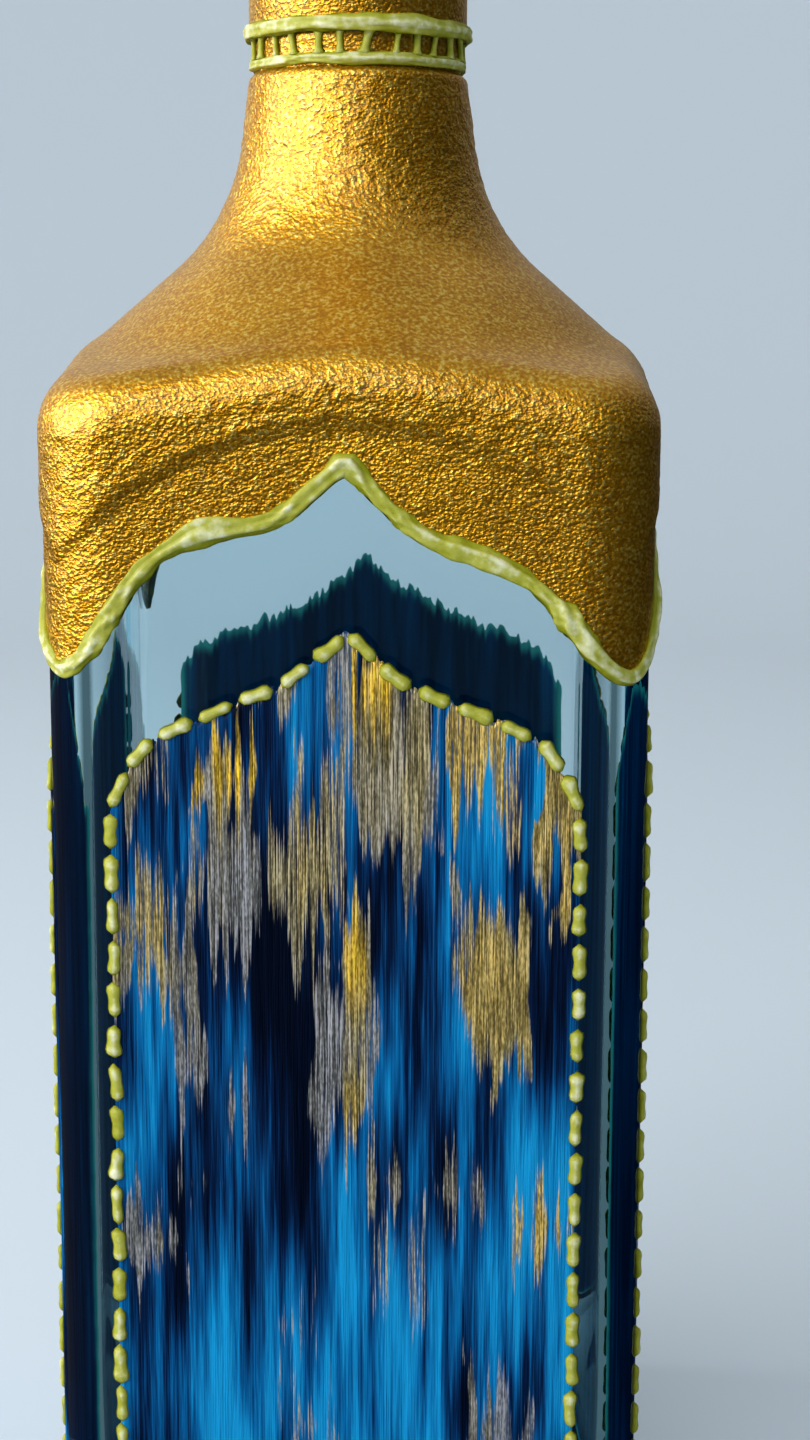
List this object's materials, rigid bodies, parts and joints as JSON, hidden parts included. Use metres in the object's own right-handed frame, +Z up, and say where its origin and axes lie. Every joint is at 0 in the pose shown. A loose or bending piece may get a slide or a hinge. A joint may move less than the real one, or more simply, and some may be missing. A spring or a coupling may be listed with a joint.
{
  "type": "decorated glass bottle",
  "caption": "Square glass spirit bottle dressed as a genie bottle, with a gold coat, raised paste trim, painted windows and a lift-out cork stopper.",
  "frame": {"origin": "middle of the base, at the height of the ring that the bottle stands on", "axes": "+Z up along the bottle's axis; -Y is the outward direction of the front face, +X the right face"},
  "size_m": [0.0816, 0.0816, 0.273],
  "materials": {
    "glass": "clear teal tinted glass, fire polished",
    "gold_paint": "hammered gold paint, semi-gloss",
    "relief_paste": "yellow-green relief paste, satin",
    "window_paint": "brushed glass paint in blue, navy and gold, glossy",
    "sleeve": "gold painted over a grey sleeve",
    "stopper_head": "gold painted head, semi-gloss",
    "cork": "natural cork, matte"
  },
  "bodies": {
    "bottle": {"glass_bottle": "glass", "gold_coat": "gold_paint", "arch_bead_front": "relief_paste", "arch_bead_right": "relief_paste", "arch_bead_back": "relief_paste", "arch_bead_left": "relief_paste", "panel_front": "window_paint", "panel_right": "window_paint", "panel_back": "window_paint", "panel_left": "window_paint", "dash_border_front": "relief_paste", "dash_border_right": "relief_paste", "dash_border_back": "relief_paste", "dash_border_left": "relief_paste", "neck_bead_lower": "relief_paste", "neck_bead_upper": "relief_paste", "neck_bars": "relief_paste", "neck_sleeve": "sleeve"},
    "stopper": {"stopper_head": "stopper_head", "stopper_cork": "cork"}
  },
  "joints": [
    {"name": "stopper_lift", "type": "slide", "parent": "bottle", "child": "stopper", "axis": [0, 0, 1], "range_m": [0, 0.05]}
  ]
}
